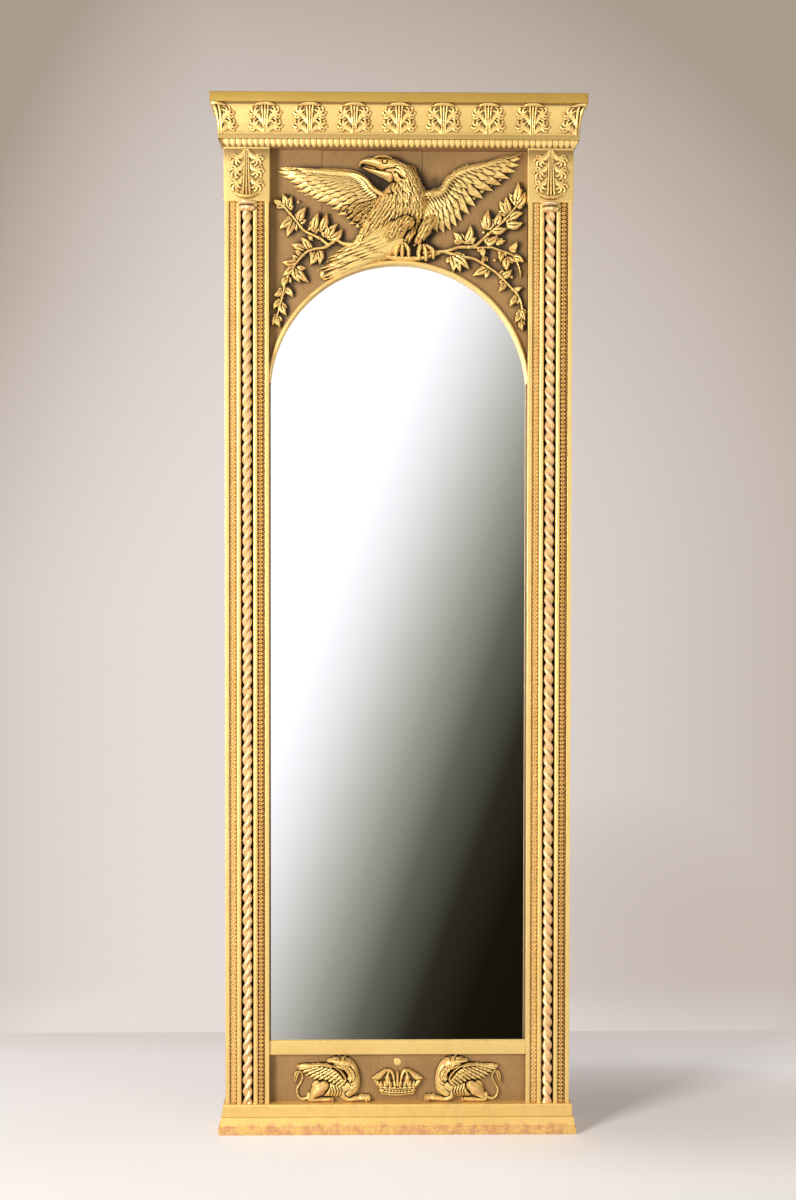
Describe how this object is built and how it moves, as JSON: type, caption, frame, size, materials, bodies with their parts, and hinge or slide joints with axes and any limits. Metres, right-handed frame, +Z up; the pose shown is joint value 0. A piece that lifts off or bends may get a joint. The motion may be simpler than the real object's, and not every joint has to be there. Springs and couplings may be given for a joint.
{
  "type": "girandole mirror",
  "caption": "Tall gilded pier mirror: arched plate between rope-carved pilasters, eagle panel above, griffin panel below, leaf-carved cornice and stepped base.",
  "frame": {"origin": "middle of the bounding box, on the floor under the base", "axes": "+Z up, -Y towards the viewer, out of the mirror's face, +X to the viewer's right"},
  "size_m": [0.863, 0.1234, 2.4],
  "materials": {
    "gilt_moulding": "gold leaf over red bole and white gesso, satin, rubbed at the edges",
    "gilt_carving": "burnished gold leaf over red bole, darker in the hollows",
    "bronzed_ground": "matt bronze-brown toned gilding, dusty and worn",
    "mirror_plate": "old silvered plate, clear, faintly wavy",
    "pine_carcass": "aged bare softwood",
    "iron_fitting": "dark wrought iron"
  },
  "bodies": {
    "mirror_frame": {"carcass_stile_left": "pine_carcass", "carcass_stile_right": "pine_carcass", "carcass_bottom_rail": "pine_carcass", "carcass_top_rail": "pine_carcass", "plate_batten_left": "pine_carcass", "plate_batten_right": "pine_carcass", "back_board_1": "pine_carcass", "back_board_2": "pine_carcass", "back_board_3": "pine_carcass", "back_board_4": "pine_carcass", "cornice_core": "pine_carcass", "mirror_plate": "mirror_plate", "eagle_ground_left": "bronzed_ground", "eagle_ground_centre": "bronzed_ground", "eagle_ground_right": "bronzed_ground", "griffin_ground": "bronzed_ground", "arch_fillet_left": "gilt_moulding", "arch_fillet_right": "gilt_moulding", "sight_rail": "gilt_moulding", "pilaster_board_left": "gilt_moulding", "pilaster_board_right": "gilt_moulding", "capital_block_left": "gilt_moulding", "capital_block_right": "gilt_moulding", "cornice_top_board": "gilt_moulding", "cornice_cove_front": "gilt_moulding", "cornice_cove_left": "gilt_moulding", "cornice_cove_right": "gilt_moulding", "cornice_bed_front": "gilt_moulding", "cornice_bed_left": "gilt_moulding", "cornice_bed_right": "gilt_moulding", "base_front": "gilt_moulding", "base_left": "gilt_moulding", "base_right": "gilt_moulding", "bead_band_outer_left": "gilt_carving", "bead_band_outer_right": "gilt_carving", "bead_band_inner_left": "gilt_carving", "bead_band_inner_right": "gilt_carving", "rope_column_left": "gilt_carving", "rope_column_right": "gilt_carving", "rope_cap_left": "gilt_carving", "rope_cap_right": "gilt_carving", "capital_leaf_left": "gilt_carving", "capital_leaf_right": "gilt_carving", "cornice_leaf_run": "gilt_carving", "eagle_body": "gilt_carving", "eagle_wing_left": "gilt_carving", "eagle_wing_right": "gilt_carving", "eagle_tail": "gilt_carving", "branch_left": "gilt_carving", "branch_right": "gilt_carving", "griffin_left": "gilt_carving", "griffin_right": "gilt_carving", "crown": "gilt_carving", "hanger_plate_left": "iron_fitting", "hanger_plate_right": "iron_fitting"},
    "ring_left": {"hanger_ring_left": "iron_fitting"},
    "ring_right": {"hanger_ring_right": "iron_fitting"}
  },
  "joints": [
    {"name": "ring_left_swing", "type": "hinge", "parent": "mirror_frame", "child": "ring_left", "pos_m": [-0.15, 0.03915, 2.25], "axis": [1, 0, 0], "range_deg": [0, 165]},
    {"name": "ring_right_swing", "type": "hinge", "parent": "mirror_frame", "child": "ring_right", "pos_m": [0.15, 0.03915, 2.25], "axis": [1, 0, 0], "range_deg": [0, 165]}
  ]
}
